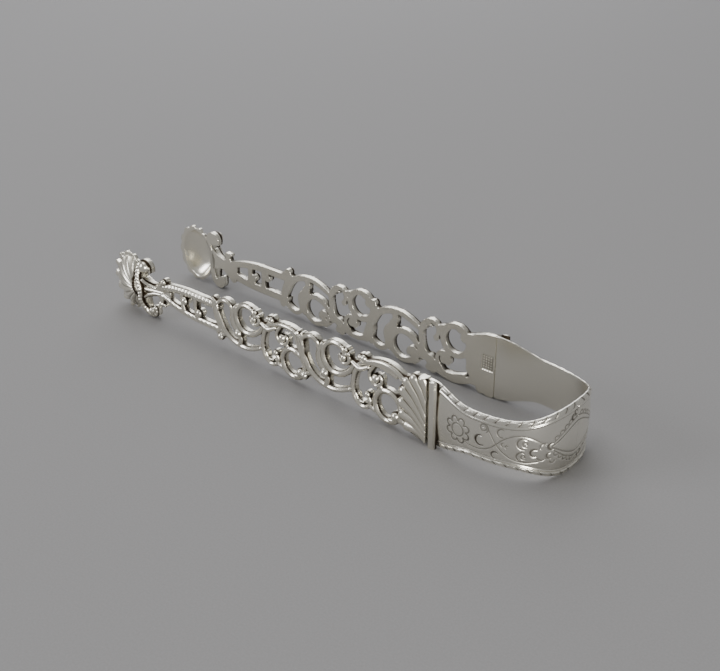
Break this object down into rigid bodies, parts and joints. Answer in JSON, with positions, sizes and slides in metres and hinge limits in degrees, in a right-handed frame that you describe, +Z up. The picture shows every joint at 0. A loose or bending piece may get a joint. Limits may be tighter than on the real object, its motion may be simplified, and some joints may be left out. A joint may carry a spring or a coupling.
{
  "type": "sugar and ice tongs",
  "caption": "Silver table tongs: a sprung U-shaped bow with openwork scroll arms that end in fluted shell bowls, lying on their side.",
  "frame": {"origin": "middle of the foot print, on the surface that the tongs lie on", "axes": "+X from the shell bowls to the bow, +Y across the gap from the near arm to the far arm, +Z up; the bow's strip stands on edge"},
  "size_m": [0.133, 0.0298, 0.016],
  "materials": {
    "sheet_silver": "hammered sterling silver, polished and softly worn, engraved lines dark with tarnish",
    "cast_silver": "cast sterling silver, crests bright from polishing, hollows dark with tarnish"
  },
  "bodies": {
    "bow": {"bow_crown": "sheet_silver"},
    "near_arm": {"near_bow_flank": "sheet_silver", "near_shoulder_band": "sheet_silver", "near_scroll_arm": "cast_silver", "near_shell_bowl": "cast_silver", "near_scroll_crossbar": "cast_silver"},
    "far_arm": {"far_bow_flank": "sheet_silver", "far_shoulder_band": "sheet_silver", "far_scroll_arm": "cast_silver", "far_shell_bowl": "cast_silver", "far_scroll_crossbar": "cast_silver"}
  },
  "joints": [
    {"name": "near_arm_squeeze", "type": "hinge", "parent": "bow", "child": "near_arm", "pos_m": [0.06266, -0.00911, 0.00802], "axis": [0, 0, -1], "range_deg": [-1.5, 4.6], "stiffness_Nm_per_rad": 1.8},
    {"name": "far_arm_squeeze", "type": "hinge", "parent": "bow", "child": "far_arm", "pos_m": [0.06266, 0.00911, 0.00802], "axis": [0, 0, 1], "range_deg": [-1.5, 4.6], "stiffness_Nm_per_rad": 1.8}
  ]
}
